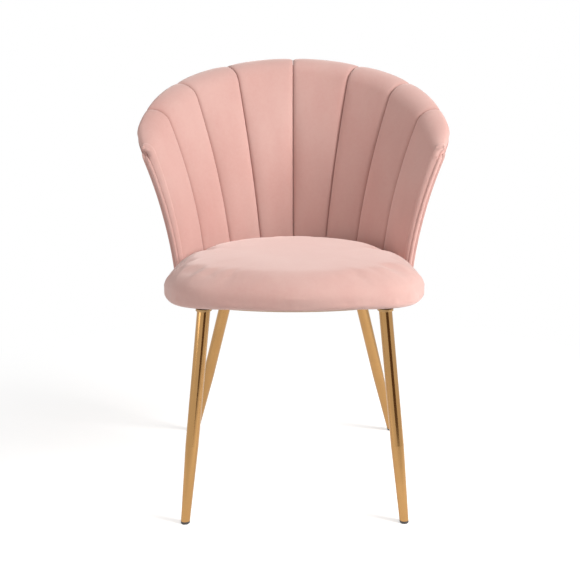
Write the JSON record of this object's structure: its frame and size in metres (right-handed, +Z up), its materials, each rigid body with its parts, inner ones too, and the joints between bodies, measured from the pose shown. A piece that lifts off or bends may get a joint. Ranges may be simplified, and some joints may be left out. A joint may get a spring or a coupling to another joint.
{
  "type": "scallop back chair",
  "caption": "Low upholstered side chair with a channelled shell-shaped barrel back, a padded seat and splayed tapered metal legs.",
  "frame": {"origin": "on the floor, under the middle of the chair's overall box", "axes": "+Z up, -Y towards the front of the chair, +X to the sitter's left"},
  "size_m": [0.6012, 0.534, 0.8002],
  "materials": {
    "velvet": "short-pile blush pink velvet",
    "foam": "open-cell upholstery foam",
    "plywood": "plain sanded plywood",
    "dust_cloth": "black non-woven cloth",
    "gold_metal": "satin gold plated steel",
    "frame_steel": "gold lacquered flat steel",
    "fasteners": "bright zinc plated",
    "glide_plastic": "matt dark plastic"
  },
  "bodies": {
    "root": {"seat_board": "plywood", "seat_foam": "foam", "seat_cover": "velvet", "dust_cover": "dust_cloth", "seat_bolts": "fasteners", "seat_washers": "fasteners", "t_nuts": "fasteners", "back_channel_1": "velvet", "back_channel_2": "velvet", "back_channel_3": "velvet", "back_channel_4": "velvet", "back_channel_5": "velvet", "back_channel_6": "velvet", "back_channel_7": "velvet", "back_channel_8": "velvet", "back_shell": "plywood", "outer_back_panel": "velvet", "edge_piping": "velvet", "back_brackets": "frame_steel", "bracket_nuts": "fasteners", "back_bolts": "fasteners", "front_right_leg": "gold_metal", "front_left_leg": "gold_metal", "rear_right_leg": "gold_metal", "rear_left_leg": "gold_metal", "front_right_glide": "glide_plastic", "front_left_glide": "glide_plastic", "rear_right_glide": "glide_plastic", "rear_left_glide": "glide_plastic", "right_side_bar": "frame_steel", "left_side_bar": "frame_steel", "front_cross_bar": "frame_steel", "rear_cross_bar": "frame_steel"}
  },
  "joints": []
}
